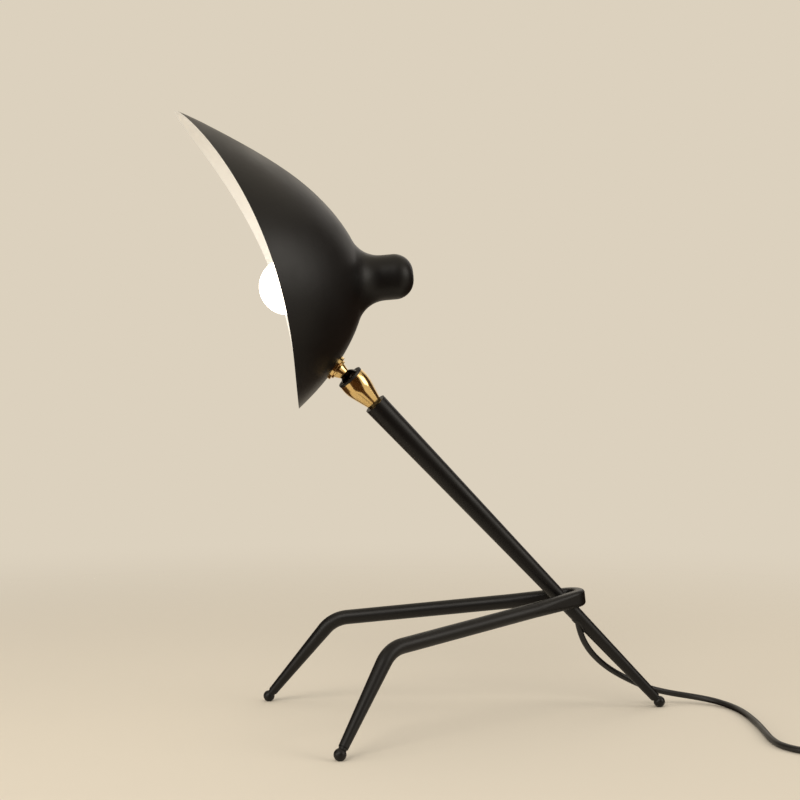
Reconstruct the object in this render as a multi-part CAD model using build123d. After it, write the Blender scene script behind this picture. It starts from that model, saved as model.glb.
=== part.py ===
from build123d import *
import os
from math import atan, cos, degrees, hypot, pi, radians, sin, sqrt, tan

# Desk lamp on three ball feet: tapered stem, hairpin front legs, ball swivel and pointed shade.
# Millimetres, +Z up, shade towards -X. Worked out from the rear foot, then centred on the floor.

# Stem: one tapered tube that leans over the front legs
stem_angle = 45.4
stem_length = 355.5
stem_top_d = 19.0
stem_foot_d = 8.2
stem_wall = 1.3

# Ball feet
foot_d = 9.6
foot_flat = 0.3
foot_neck_d = 6.4
foot_groove = 0.9
foot_spigot = 10.0
leg_spigot_d = 4.0

# Front legs: one rod bent round the stem, its two lines meeting behind the loop
front_foot_x = -310.3
front_foot_y = 120.0
knee_x = -262.1
knee_y = 85.3
knee_z = 74.0
legs_meet_x = -53.6
legs_meet_z = 98.8
rod_d = 12.2
leg_foot_d = 7.8
knee_bend = 29.0
loop_bend = 12.2
loop_thick = 9.2
loop_tall = 13.4
loop_corner = 3.0
loop_run = 45.0
rod_flat = 0.4

# Ball swivel: tulip cup on the stem, ball on a stud that carries the shade
thread_d = 10.0
insert_length = 14.0
spigot_length = 12.0
cup_length = 30.6
cup_base_d = 12.0
cup_shoulder_d = 23.8
cup_lip = 9.6
cup_shoulder_round = 30.0
cup_rim_d = 22.2
cup_bore_d = 6.2
cup_floor = 15.0
cup_chamber_d = 17.2
collar_d = 19.2
collar_length = 5.4
collar_head = 2.0
ball_d = 16.0
ball_sink = 2.9
seat_floor = 2.0
seat_length = 5.4
spring_hole_d = 8.0
spring_strip = 0.8
neck_d = 8.8
neck_base_d = 13.6
flange_d = 16.6
flange = 1.8
saddle_d = 21.0
saddle = 2.0
inner_saddle = 3.0
stud_nut_flats = 15.0
stud_nut = 5.0
stud_tail = 2.0
stud_bore_d = 5.6
bore_mouth_d = 10.0
running_fit = 0.05
shaft_fit = 0.1
edge_break = 0.3

# Shade: a spun parabolic bowl with a closed nose, its rim flat below and swept forward to a point above
head_yaw = -13.4
head_dip = 5.4
head_roll = 3.7
focal = 39.0
shade_wall = 1.2
bowl_stations = 6
rim_depth = 61.6
rim_turn = -68.0
rim_sweep = 341.0
rim_sweep_angle = 45.0
rim_waste = 12.0
nose_length = 39.6
nose_d = 36.4
nose_round = 15.0
nose_flare = 24.0
stud_drop = 68.0
stud_reach = 16.0

# Small globe bulb and its lampholder, on the axis of the bowl
globe_d = 45.0
globe_centre = 61.5
bulb_length = 78.0
glass_wall = 0.9
bulb_neck_d = 15.0
bulb_cap_d = 13.4
bulb_cap_wall = 0.5
bulb_cap_length = 18.0
insulator = 2.0
contact_d = 4.8
contact = 1.0
holder_d = 26.8
holder_wall = 2.4
holder_round = 1.2
holder_front = 30.0
holder_split = 3.0
holder_rear = -14.0
holder_partition = 2.5
holder_bore_d = 16.6
holder_sleeve_d = 14.0
holder_sleeve_inset = 3.0
holder_stub = 10.0
holder_stub_bore_d = 6.6
holder_plate = 2.0
holder_nut_flats = 14.0
holder_nut = 4.0
wire_d = 2.0
wire_pair = 2.4
wire_notch = 6.4
wire_bend = 6.5
wire_turn = 4.5
wire_tail = 8.0
wire_space = 5.0

# Cord, from the stem's underside to the hand switch, then coiled away and ending in a plug
cord_d = 5.0
cord_floor = 2.6
cord_exit_x = -75.6
cord_exit_slant = 12.0
cord_exit_run = 16.4
cord_bend = 18.0
cord_join = 5.5
grommet_d = 7.4
grommet_lip_d = 9.4
grommet_lip = 0.4
grommet_inset = 0.8
grommet_fit = 0.6
sheath_tail = 3.0
arc_share = 0.45

# Hand switch lying on the floor beside the cord
switch_x = 120.0
switch_y = -216.0
switch_length = 58.0
switch_width = 26.0
switch_corner = 6.0
switch_split = 8.0
switch_height = 17.0
switch_wall = 1.8
switch_lift = 0.2
switch_top_round = 2.4
switch_foot_round = 1.2
relief_length = 20.0
relief_d = 8.0
relief_tip_d = 6.6
relief_grip = 1.8
rocker_length = 20.0
rocker_width = 11.6
rocker_gap = 0.4
rocker_pivot = 13.4
rocker_rise = 3.6
rocker_depth = 2.6
rocker_dish = 1.2
rocker_round = 0.8
rocker_angle = 7.0
rocker_pin_d = 2.4
rail = 2.0
rail_depth = 3.2
screw_x = 22.0
screw_y = 8.0
screw_d = 2.4
screw_head_d = 4.8
screw_head = 1.2
screw_reach = 5.0
screw_boss_d = 5.4
terminal_length = 14.0
terminal_width = 3.6
terminal_height = 4.0
terminal_y = 4.0

# Put-away coil of cord, its tie and the plug
link_run = 14.0
coil_turns_in = 3.0
coil_turns_out = 2.75
coil_mid_d = 60.0
coil_pitch = 5.8
coil_layer = 5.8
coil_exit = 26.0
tie_strip = 1.0
tie_width = 9.0
tie_slack = 0.9
tie_seat = 0.3
tie_floor = 0.1
plug_relief_length = 28.0
plug_relief_d = 9.6
plug_relief_tip_d = 6.8
plug_neck_width = 15.0
plug_neck_height = 13.0
plug_neck_corner = 5.0
plug_width = 36.0
plug_height = 19.2
plug_corner = 9.0
plug_taper = 18.0
plug_grip = 18.0
plug_round = 1.6
pin_d = 4.8
pin_length = 19.0
pin_spacing = 19.0
pin_root = 8.0
pin_root_d = 4.0
pin_shoulder = 0.1
pin_round = 1.6


def turned(*points):
    """Body of revolution about Z from a closed outline of (radius, height) points."""
    outline = Polyline(*[(radius, 0, height) for radius, height in points], close=True)
    return revolve(make_face(outline), Axis.Z)


def rod(diameter, start, end):
    """Round bar along Z between two heights."""
    return Pos(0, 0, start) * extrude(Circle(diameter / 2), end - start)


def ring(outer_d, inner_d, start, end):
    """Round tube along Z between two heights."""
    return rod(outer_d, start, end) - rod(inner_d, start, end)


def hexagon(flats, start, end):
    """Six-sided bar along Z, measured across its flats."""
    return Pos(0, 0, start) * extrude(RegularPolygon(flats / 2, 6, major_radius=False), end - start)


# Stem
foot_z = foot_d / 2 - foot_flat
lean = radians(stem_angle)
stem_axis = Vector(-cos(lean), 0, sin(lean))
stem_frame = Plane(origin=(0, 0, foot_z), x_dir=(0, 1, 0), z_dir=stem_axis)
leg_end = foot_d / 2 + foot_groove


def stem_radius(along, inset=0.0):
    """Radius of the tapered stem at a distance from the rear ball's centre."""
    return (stem_foot_d + (stem_top_d - stem_foot_d) * along / stem_length) / 2 - inset


def stem_cone(start, end, inset=0.0):
    """Solid cone between two distances along the stem."""
    cone = Solid.make_cone(stem_radius(start, inset), stem_radius(end, inset), end - start)
    return stem_frame.location * Pos(0, 0, start) * cone


def stem_height(x):
    """Height of the stem's middle line above the floor."""
    return foot_z - x * tan(lean)


# The cord's line out of the stem starts on the stem's middle line and slants down to the rear
slant = radians(cord_exit_slant)
cord_exit = Vector(sin(slant), 0, -cos(slant))
exit_start = Vector(cord_exit_x, 0, stem_height(cord_exit_x))
on_exit = Plane(origin=exit_start, x_dir=(0, 1, 0), z_dir=cord_exit).location
cord_hole = on_exit * rod(grommet_d, 0, cord_exit_run)
stem_solid = stem_cone(leg_end, stem_length)
stem_tube = stem_solid - stem_cone(leg_end, stem_length, stem_wall) - cord_hole
stem_insert = stem_cone(stem_length - insert_length, stem_length, stem_wall)
stem_insert -= stem_frame.location * rod(thread_d, stem_length - insert_length, stem_length)

bush = on_exit * ring(grommet_d, cord_d + 2 * grommet_fit, 0, cord_exit_run)
lip = on_exit * ring(grommet_lip_d, grommet_d, 0, cord_exit_run)
lip_skin = stem_cone(leg_end, stem_length, -grommet_lip)
cord_grommet = (bush & lip_skin) - stem_cone(leg_end, stem_length, stem_wall + grommet_inset)
cord_grommet += (lip & lip_skin) - stem_solid


# Feet: a ball, its neck in the groove, and a spigot up into the leg
def ball_foot(centre, along, spigot):
    """Ball foot at a centre, with its neck and spigot along a leg."""
    frame = Plane(origin=centre, z_dir=along)
    body = Sphere(foot_d / 2) + rod(foot_neck_d, 0, leg_end) + spigot
    below = Pos(0, 0, -foot_d) * Box(2 * foot_d, 2 * foot_d, 2 * foot_d)
    return frame.location * body - Pos(centre.X, centre.Y, 0) * below


rear_spigot = Pos(0, 0, leg_end) * Solid.make_cone(
    stem_radius(leg_end, stem_wall), stem_radius(leg_end + foot_spigot, stem_wall), foot_spigot
)
foot_rear = ball_foot(Vector(0, 0, foot_z), stem_axis, rear_spigot)


# Front legs
legs_meet = Vector(legs_meet_x, 0, legs_meet_z)
leg_plane = Plane(
    origin=legs_meet,
    x_dir=Vector(legs_meet_x - knee_x, 0, legs_meet_z - knee_z),
    z_dir=Vector(knee_z - legs_meet_z, 0, legs_meet_x - knee_x),
)
leg_reach = hypot(legs_meet_x - knee_x, legs_meet_z - knee_z)
leg_splay = atan(knee_y / leg_reach)
loop_centre = loop_bend / sin(leg_splay)
loop_end = loop_bend / tan(leg_splay)


def front_leg(side):
    """One leg from the end of the loop to its foot; side is -1 near, +1 far."""
    knee = Vector(knee_x, side * knee_y, knee_z)
    foot = Vector(front_foot_x, side * front_foot_y, foot_z)
    out = (knee - legs_meet).normalized()
    down = (foot - knee).normalized()
    bend = radians(out.get_angle(down))
    knee_cut = knee_bend * tan(bend / 2)
    flat_end = legs_meet + out * loop_end
    round_end = legs_meet + out * (loop_end + loop_run)
    flattened = Plane(origin=flat_end, x_dir=leg_plane.z_dir, z_dir=out)
    rounded = Plane(origin=round_end, x_dir=leg_plane.z_dir, z_dir=out)
    blend = loft(
        [
            flattened * RectangleRounded(loop_tall, loop_thick, loop_corner),
            rounded * RectangleRounded(rod_d, rod_d, (rod_d - rod_flat) / 2),
        ],
        ruled=True,
    )
    before_knee = knee - out * knee_cut
    after_knee = knee + down * knee_cut
    path = Wire([Line(round_end, before_knee).edge(), TangentArc(before_knee, after_knee, tangent=out).edge()])
    upper = sweep(rounded * Circle(rod_d / 2), path=path)
    shank = (foot - after_knee).length - leg_end
    lower = Solid.make_cone(rod_d / 2, leg_foot_d / 2, shank, Plane(origin=after_knee, z_dir=down))
    hole = Plane(origin=foot, z_dir=-down).location * rod(leg_spigot_d, 0, leg_end + foot_spigot)
    return blend + upper + lower - hole


def front_foot(side):
    """Ball foot of one front leg."""
    knee = Vector(knee_x, side * knee_y, knee_z)
    foot = Vector(front_foot_x, side * front_foot_y, foot_z)
    return ball_foot(foot, (knee - foot).normalized(), rod(leg_spigot_d, leg_end, leg_end + foot_spigot))


loop_axis = Axis(leg_plane.from_local_coords((-loop_centre, 0, 0)), leg_plane.z_dir)
loop_start = legs_meet + (Vector(knee_x, -knee_y, knee_z) - legs_meet).normalized() * loop_end
loop_face = Plane(
    origin=loop_start,
    x_dir=leg_plane.z_dir,
    z_dir=legs_meet - Vector(knee_x, -knee_y, knee_z),
) * RectangleRounded(loop_tall, loop_thick, loop_corner)
leg_loop = revolve(loop_face, loop_axis, 180 - 2 * degrees(leg_splay))
leg_hairpin = leg_loop + front_leg(-1) + front_leg(1) - stem_solid


# Swivel cup and what it holds, all turned about the stem's line above its upper end
cup_frame = stem_frame.offset(stem_length)
on_cup = cup_frame.location
ball_height = cup_length - ball_sink
cup_shoulder = cup_length - cup_lip
cup_rim = cup_length - collar_head
thread_root_d = thread_d - 2 * running_fit
cup_outer = FilletPolyline(
    (cup_base_d / 2, 0, running_fit),
    (cup_shoulder_d / 2, 0, cup_shoulder),
    (cup_rim_d / 2, 0, cup_rim),
    radius=cup_shoulder_round,
)
cup_inner = Polyline(
    (cup_rim_d / 2, 0, cup_rim),
    (cup_bore_d / 2, 0, cup_rim),
    (cup_bore_d / 2, 0, -spigot_length),
    (thread_root_d / 2, 0, -spigot_length),
    (thread_root_d / 2, 0, running_fit),
    (cup_base_d / 2, 0, running_fit),
)
socket = Pos(0, 0, ball_height) * Sphere(ball_d / 2 + running_fit)
collar_seat = cup_length - collar_length
cup = revolve(make_face(cup_outer.edges() + cup_inner.edges()), Axis.Z)
cup -= rod(cup_chamber_d, cup_floor, cup_rim)
cup -= rod(collar_d, collar_seat, cup_rim)
collar = turned(
    (0, collar_seat),
    (collar_d / 2, collar_seat),
    (collar_d / 2, cup_rim),
    (cup_rim_d / 2, cup_rim),
    (cup_rim_d / 2, cup_length - edge_break),
    (cup_rim_d / 2 - edge_break, cup_length),
    (0, cup_length),
)
collar -= socket
seat_base = ball_height - ball_d / 2 - seat_floor
seat = ring(cup_chamber_d, cup_bore_d, seat_base, seat_base + seat_length) - socket
spring = turned(
    (spring_hole_d / 2, seat_base - spring_strip),
    (spring_hole_d / 2, seat_base),
    (cup_chamber_d / 2, cup_floor + spring_strip),
    (cup_chamber_d / 2, cup_floor),
)
swivel_cup = on_cup * cup
cup_collar = on_cup * collar
ball_seat = on_cup * seat
seat_spring = on_cup * spring
ball_centre = cup_frame.from_local_coords((0, 0, ball_height))

# Pose of the head: its axis runs out of the shade's mouth, from the bottom of the bowl
dip = radians(head_dip)
roll = radians(head_roll)
level_up = Vector(-sin(dip), 0, cos(dip))
head_axis = Vector(-cos(dip), 0, -sin(dip)).rotate(Axis.Z, head_yaw)
head_up = (level_up * cos(roll) + Vector(0, sin(roll), 0)).rotate(Axis.Z, head_yaw)
wall_slope = hypot(2 * focal, stud_drop)
stud_x = 2 * focal / wall_slope
stud_z = stud_drop / wall_slope
stud_foot_x = stud_drop**2 / (4 * focal)
ball_x = stud_foot_x - stud_reach * stud_x
ball_z = -stud_drop - stud_reach * stud_z
bowl_bottom = ball_centre - head_axis * ball_x - head_up * ball_z
head_frame = Plane(origin=bowl_bottom, x_dir=head_axis, z_dir=head_up)
stud_frame = Plane(origin=(ball_x, 0, ball_z), x_dir=(0, 1, 0), z_dir=(stud_x, 0, stud_z))
in_head = head_frame.location
in_stud = in_head * stud_frame.location
on_axis = Plane(origin=(0, 0, 0), x_dir=(0, 0, 1), z_dir=(1, 0, 0)).location


# Shade
bowl_reach = rim_turn + rim_sweep * sin(radians(rim_sweep_angle)) - rim_waste


def bowl_point(radius, inset):
    """Point of the parabola, moved in along its normal; axis along X."""
    slope = hypot(2 * focal, radius)
    return (radius**2 / (4 * focal) + inset * 2 * focal / slope, 0, radius - inset * radius / slope)


def bowl_space(inset):
    """Everything inside the bowl and its nose, at an inset from the outside."""
    stations = [bowl_point(bowl_reach * i / (bowl_stations - 1), inset) for i in range(bowl_stations)]
    mouth_x, _, mouth_z = stations[-1]
    curve = Spline(*stations, tangents=[(0, 0, 1), (bowl_reach, 0, 2 * focal)])
    edge = Polyline((mouth_x, 0, mouth_z), (mouth_x, 0, 0), (inset, 0, 0))
    bowl = revolve(make_face(curve.edges() + edge.edges()), Axis.X)
    nose = on_axis * rod(nose_d - 2 * inset, inset - nose_length, focal)
    space = bowl + nose
    circles = space.edges().filter_by(GeomType.CIRCLE).sort_by(Axis.X)
    space = fillet(circles[0], nose_round - inset)
    throat = [
        edge
        for edge in space.edges()
        if abs(edge.length - pi * (nose_d - 2 * inset)) < 0.5 and edge.center().X > 0
    ]
    return fillet(throat, nose_flare + inset)


rim_line = Line((rim_depth, -bowl_reach), (rim_depth, rim_turn))
rim_curve = CenterArc((rim_depth + rim_sweep, rim_turn), rim_sweep, 180, -rim_sweep_angle)
rim_end = rim_curve @ 1
beyond = Polyline(
    rim_end,
    (rim_end.X + bowl_reach, rim_end.Y),
    (rim_end.X + bowl_reach, -bowl_reach),
    (rim_depth, -bowl_reach),
)
rim_cut = extrude(
    Plane.XZ * make_face(rim_line.edges() + rim_curve.edges() + beyond.edges()), bowl_reach, both=True
)
outside = bowl_space(0)
inside = bowl_space(shade_wall)
stud_hole = stud_frame.location * rod(thread_d + 2 * shaft_fit, 0, stud_reach + saddle_d)
shade = in_head * (outside - inside - rim_cut - stud_hole)

# Ball stud: ball, neck cone, flange and threaded stud, bored for the cord
flange_top = stud_reach - saddle
flange_base = flange_top - flange
nut_seat = stud_reach + shade_wall + inner_saddle
stud_end = nut_seat + stud_nut + stud_tail
neck_start = sqrt((ball_d / 2) ** 2 - (neck_d / 2) ** 2)
mouth_height = sqrt((ball_d / 2) ** 2 - (bore_mouth_d / 2) ** 2)
stud = Sphere(ball_d / 2)
stud += turned(
    (0, 0),
    (neck_d / 2, 0),
    (neck_d / 2, neck_start),
    (neck_base_d / 2, flange_base),
    (flange_d / 2 - edge_break, flange_base),
    (flange_d / 2, flange_base + edge_break),
    (flange_d / 2, flange_top - edge_break),
    (flange_d / 2 - edge_break, flange_top - running_fit),
    (thread_d / 2, flange_top - running_fit),
    (thread_d / 2, stud_end),
    (0, stud_end),
)
stud -= rod(stud_bore_d, -ball_d, stud_end)
stud -= Pos(0, 0, -mouth_height) * Solid.make_cone(bore_mouth_d / 2, stud_bore_d / 2, mouth_height)
stud -= rod(bore_mouth_d, -ball_d, -mouth_height)
nut = hexagon(stud_nut_flats, nut_seat + running_fit, nut_seat + stud_nut) - rod(thread_d, 0, stud_end)
ball_stud = in_stud * stud
stud_nut_body = in_stud * nut
washer = rod(saddle_d, flange_top, stud_reach + saddle)
washer = chamfer(washer.edges().sort_by(Axis.Z)[0], edge_break)
washer = stud_frame.location * (washer - rod(thread_d + 2 * shaft_fit, flange_top, stud_reach + saddle))
lining = stud_frame.location * ring(saddle_d, thread_d + 2 * shaft_fit, stud_reach, nut_seat)
saddle_washer = in_head * (washer - outside)
inner_washer = in_head * (lining & inside)


# Bulb, pointing out of the shade along its axis
bulb_tip = globe_centre + globe_d / 2 - bulb_length
insulator_base = bulb_tip + contact
cap_base = insulator_base + insulator
glass_base = cap_base + bulb_cap_length
globe_join = globe_d / 2 * sin(radians(45))
bulb_curve = Spline(
    (bulb_neck_d / 2, 0, glass_base),
    (globe_join, 0, globe_centre - globe_join),
    tangents=[(0, 0, 1), (1, 0, 1)],
)
globe_curve = ThreePointArc(
    (globe_join, 0, globe_centre - globe_join),
    (globe_d / 2, 0, globe_centre),
    (0, 0, globe_centre + globe_d / 2),
)
glass_edge = Polyline((0, 0, globe_centre + globe_d / 2), (0, 0, glass_base), (bulb_neck_d / 2, 0, glass_base))
glass = revolve(make_face(bulb_curve.edges() + globe_curve.edges() + glass_edge.edges()), Axis.Z)
glass -= Pos(0, 0, globe_centre) * Sphere(globe_d / 2 - glass_wall)
glass -= rod(bulb_neck_d - 2 * glass_wall, glass_base, globe_centre)
bulb_globe = in_head * on_axis * glass
bulb_cap = in_head * on_axis * ring(bulb_cap_d, bulb_cap_d - 2 * bulb_cap_wall, cap_base, glass_base)
bulb_insulator = in_head * on_axis * (
    Pos(0, 0, insulator_base) * Solid.make_cone(contact_d / 2, bulb_cap_d / 2, insulator)
)
bulb_contact = in_head * on_axis * rod(contact_d, bulb_tip, insulator_base)

# Lampholder, its plate across the nose and its nut
holder_chamber_d = holder_d - 2 * holder_wall
bore_start = holder_split + holder_partition
cap_body = ring(holder_d, holder_chamber_d, holder_rear + holder_wall, holder_split)
rear_wall = rod(holder_d, holder_rear, holder_rear + holder_wall)
cap_body += fillet(rear_wall.edges().sort_by(Axis.Z)[0], holder_round)
cap_body += rod(thread_d, holder_rear - holder_stub, holder_rear)
cap_body -= rod(holder_stub_bore_d, holder_rear - holder_stub, holder_rear + holder_wall)
front_body = rod(holder_d, holder_split, holder_front)
front_body = fillet(front_body.edges().sort_by(Axis.Z)[-1], holder_round)
front_body -= rod(holder_bore_d, bore_start, holder_front)
front_body -= rod(contact_d, holder_split, bore_start)
sleeve_start = bore_start + holder_sleeve_inset
sleeve_end = holder_front - holder_sleeve_inset
plate_rear = holder_rear - holder_plate
plate = ring(nose_d + nose_flare, thread_d, plate_rear, holder_rear)
wire_room = nose_d / 2 - shade_wall - holder_d / 2
notch_depth = wire_room + shade_wall
notch_middle = -(holder_d + notch_depth) / 2
notch = Pos(plate_rear + holder_plate / 2, 0, notch_middle) * Box(2 * holder_plate, wire_notch, notch_depth)
nut_rear = plate_rear - holder_nut
lampholder_cap = in_head * on_axis * cap_body
lampholder_body = in_head * on_axis * front_body
lampholder_sleeve = in_head * on_axis * ring(holder_bore_d, holder_sleeve_d, sleeve_start, sleeve_end)
lampholder_contact = in_head * on_axis * rod(contact_d, holder_split - holder_partition, bulb_tip)
holder_plate_body = in_head * ((on_axis * plate & inside) - notch)
holder_nut_body = in_head * on_axis * (
    hexagon(holder_nut_flats, nut_rear, plate_rear) - rod(thread_d, nut_rear, plate_rear)
)

# Cord through the ball and stud, then its two cores round into the lampholder
sheath_end = stud_end + sheath_tail
head_cord = in_stud * rod(cord_d, 0, sheath_end)
core_lift = -(holder_d + wire_room) / 2
core_start = stud_frame.from_local_coords((0, 0, sheath_end))
core_bend = stud_frame.from_local_coords((0, 0, sheath_end + wire_bend + wire_turn))
core_back = holder_rear - holder_stub - wire_space
core_route = [
    (core_start.X, core_start.Z),
    (core_bend.X, core_bend.Z),
    (core_bend.X - stud_drop / 4, core_bend.Z + stud_drop / 3),
    (focal / 10, core_lift),
    (core_back, core_lift),
    (core_back, -wire_pair / 2),
    (holder_rear + wire_tail, -wire_pair / 2),
]
core_radii = [wire_bend, wire_bend * 2, wire_bend * 2, wire_bend, wire_turn]


def lamp_core(side):
    """One insulated core, in a plane beside the head's middle plane."""
    route = [Vector(x, side * wire_pair / 2, z) for x, z in core_route]
    path = FilletPolyline(*route, radius=core_radii)
    return sweep(Plane(origin=route[0], z_dir=route[1] - route[0]) * Circle(wire_d / 2), path=path)


lamp_wires = in_head * Compound([lamp_core(-1).solid(), lamp_core(1).solid()])

# Cord inside the stem, from under the ball down to the grommet
cord_joint = exit_start + cord_exit * cord_join
stem_cord_top = cup_frame.from_local_coords((0, 0, seat_base))
stem_cord_route = [stem_cord_top, exit_start, cord_joint]
stem_cord_start = Plane(origin=stem_cord_top, z_dir=exit_start - stem_cord_top)
stem_cord = sweep(
    stem_cord_start * Circle(cord_d / 2), path=FilletPolyline(*stem_cord_route, radius=cord_bend)
)


# Free cord
def corner_radii(route):
    """Largest arc that the two runs at each point of a route leave room for."""
    radii = []
    for before, corner, after in zip(route, route[1:], route[2:]):
        run_in = corner - before
        run_out = after - corner
        turn = radians(run_in.get_angle(run_out))
        radii.append(arc_share * min(run_in.length, run_out.length) / tan(turn / 2))
    return radii


def cord_tube(name, route):
    """Round cord along a route of straight runs and tangent arcs."""
    radii = corner_radii(route)
    path = FilletPolyline(*route, radius=radii)
    tube = sweep(Plane(origin=route[0], z_dir=route[1] - route[0]) * Circle(cord_d / 2), path=path)
    share = tube.volume / (path.length * pi * cord_d**2 / 4)
    print(name, "length", round(path.length, 1), "volume share", round(share, 4))
    print(name, "radii", [round(radius, 1) for radius in radii])
    return tube


switch_start = switch_x - switch_length / 2 - relief_length
switch_finish = switch_x + switch_length / 2 + relief_length
lead_route = [
    cord_joint,
    exit_start + cord_exit * cord_exit_run,
    Vector(-63.6, 3.4, 51.6),
    Vector(-53.2, 6.6, 41.3),
    Vector(-40.6, 9.6, 32),
    Vector(-25, 12, 23.4),
    Vector(-6, 12.6, 14.4),
    Vector(14, 11.2, 9.2),
    Vector(32, 6.6, 6.2),
    Vector(46, -4, 4.2),
    Vector(52.6, -20, cord_floor + 0.2),
    Vector(53, -40, cord_floor),
    Vector(48.5, -65, cord_floor),
    Vector(40, -97, cord_floor),
    Vector(30, -128, cord_floor),
    Vector(20.5, -156, cord_floor),
    Vector(17, -180, cord_floor),
    Vector(25.5, -202, cord_floor),
    Vector(43, -214, cord_floor + 1),
    Vector(57, switch_y, switch_split),
    Vector(switch_start, switch_y, switch_split),
]
cord_lead = cord_tube("cord_lead", lead_route)

# Coil: in on the lower layer, up a layer in the half turn where it reverses, out on the upper one
coil_floor = tie_floor + tie_strip + tie_seat + cord_d / 2
coil_climb = 0.5
coil_turns = coil_turns_in + coil_climb + coil_turns_out
coil_outer = coil_mid_d / 2 + coil_pitch * coil_turns_in / 2
coil_inner = coil_outer - coil_pitch * coil_turns_in
coil_start_x = switch_finish + 3 * link_run
coil_first = radians(-90) - atan(coil_pitch / (2 * pi * coil_outer))
coil_x = coil_start_x - coil_outer * cos(coil_first)
coil_y = switch_y - coil_outer * sin(coil_first)


def coil_point(turn):
    """Middle of the coiled cord after so many turns."""
    climb = min(max((turn - coil_turns_in) / coil_climb, 0), 1)
    dip_in = coil_pitch * coil_climb * (climb - climb**2)
    after = max(turn - coil_turns_in - coil_climb, 0)
    radius = coil_outer - coil_pitch * min(turn, coil_turns_in) - dip_in + coil_pitch * after
    angle = coil_first + 2 * pi * turn
    height = coil_floor + coil_layer * climb**2 * (3 - 2 * climb)
    return Vector(coil_x + radius * cos(angle), coil_y + radius * sin(angle), height)


def coil_heading(turn):
    """Direction of the coiled cord after so many turns."""
    step = 1e-5
    return (coil_point(turn + step) - coil_point(turn - step)).normalized()


def biarc(start, leave, end, arrive):
    """Two arcs that leave one point along a direction and arrive at another along a second."""
    chord = end - start
    pull = chord.dot(leave + arrive)
    bend = 2 * (1 - leave.dot(arrive))
    reach = (sqrt(pull**2 + bend * chord.dot(chord)) - pull) / bend
    first = start + leave * reach
    second = end - arrive * reach
    middle = (first + second) / 2
    return [TangentArc(start, middle, tangent=leave), TangentArc(middle, end, tangent=second - first)]


coil_begin = coil_point(0)
coil_into = Vector(1, 0, 0)
coil_finish = coil_point(coil_turns)
coil_out = coil_heading(coil_turns)
quarters = round(4 * coil_turns)
coil_nodes = [(coil_point(i / 4), coil_heading(i / 4)) for i in range(quarters + 1)]
coil_nodes[0] = (coil_begin, coil_into)
coil_edges = [Line(coil_begin - coil_into * cord_d, coil_begin)]
for (here, leave), (there, arrive) in zip(coil_nodes, coil_nodes[1:]):
    coil_edges += biarc(here, leave, there, arrive)
plug_start = coil_finish + coil_out * coil_exit
coil_edges.append(Line(coil_finish, plug_start))
coil_path = Wire([edge.edge() for edge in coil_edges])
coil_section = Plane(origin=coil_begin - coil_into * cord_d, z_dir=coil_into) * Circle(cord_d / 2)
cord_coil = sweep(coil_section, path=coil_path)


def least_gap():
    """Least distance between one turn of the coil and another, surface to surface."""
    per_turn = 60
    points = [coil_point(i / per_turn) for i in range(round(coil_turns * per_turn) + 1)]
    apart = per_turn // 3
    pairs = ((a, b) for i, a in enumerate(points) for b in points[i + apart :])
    return min((a - b).length for a, b in pairs) - cord_d


coil_share = cord_coil.volume / (coil_path.length * pi * cord_d**2 / 4)
print("cord_coil length", round(coil_path.length, 1), "volume share", round(coil_share, 4))
print("cord_coil least gap", round(least_gap(), 2))

link_route = [
    Vector(switch_finish, switch_y, switch_split),
    Vector(switch_finish + link_run - cord_d / 2, switch_y, switch_split),
    Vector(coil_start_x - link_run - cord_d / 2, switch_y, coil_floor),
    Vector(coil_start_x - cord_d, switch_y, coil_floor),
]
cord_link = cord_tube("cord_link", link_route)

# Tie round the coil, opposite the half turn where it climbs
tie_turns = [coil_point(turn + 0.75) for turn in range(int(coil_turns_in))]
tie_inner = coil_x - max(point.X for point in tie_turns) - cord_d / 2 - tie_slack
tie_outer = coil_x - min(point.X for point in tie_turns) + cord_d / 2 + tie_slack
tie_top = coil_floor + coil_layer + cord_d / 2 + tie_seat
tie_bottom = tie_floor + tie_strip
tie_middle = Pos(coil_x - (tie_inner + tie_outer) / 2, coil_y, (tie_top + tie_bottom) / 2)
tie_window = (tie_outer - tie_inner, tie_top - tie_bottom)
tie_face = RectangleRounded(tie_window[0] + 2 * tie_strip, tie_window[1] + 2 * tie_strip, 2 * tie_strip)
tie_face -= RectangleRounded(tie_window[0], tie_window[1], tie_strip)
coil_tie = tie_middle * extrude(Plane.XZ * tie_face, tie_width / 2, both=True)

# Plug at the end of the cord, its wide face lying level
plug_frame = Plane(origin=plug_start, x_dir=coil_out.cross(Vector(0, 0, 1)), z_dir=coil_out)
plug_front = plug_relief_length + plug_taper + plug_grip
plug_neck = RectangleRounded(plug_neck_width, plug_neck_height, plug_neck_corner)
plug_oval = RectangleRounded(plug_width, plug_height, plug_corner)
plug_shell = loft(
    [Pos(0, 0, plug_relief_length) * plug_neck, Pos(0, 0, plug_relief_length + plug_taper) * plug_oval], ruled=True
)
plug_shell += Pos(0, 0, plug_relief_length + plug_taper) * extrude(plug_oval, plug_grip)
plug_shell = fillet(plug_shell.faces().sort_by(Axis.Z)[-1].edges(), plug_round)
pin_places = [Pos(side * pin_spacing / 2, 0, 0) for side in (-1, 1)]
root = rod(pin_root_d, plug_front - pin_root, plug_front + pin_shoulder)
pin = rod(pin_d, plug_front + pin_shoulder, plug_front + pin_length)
pin = fillet(pin.edges().sort_by(Axis.Z)[-1], pin_round) + root
for place in pin_places:
    plug_shell -= place * root
plug_body = plug_frame.location * plug_shell
plug_pins = plug_frame.location * Compound([(place * pin).solid() for place in pin_places])
plug_relief = plug_frame.location * Solid.make_cone(plug_relief_tip_d / 2, plug_relief_d / 2, plug_relief_length)

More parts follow.
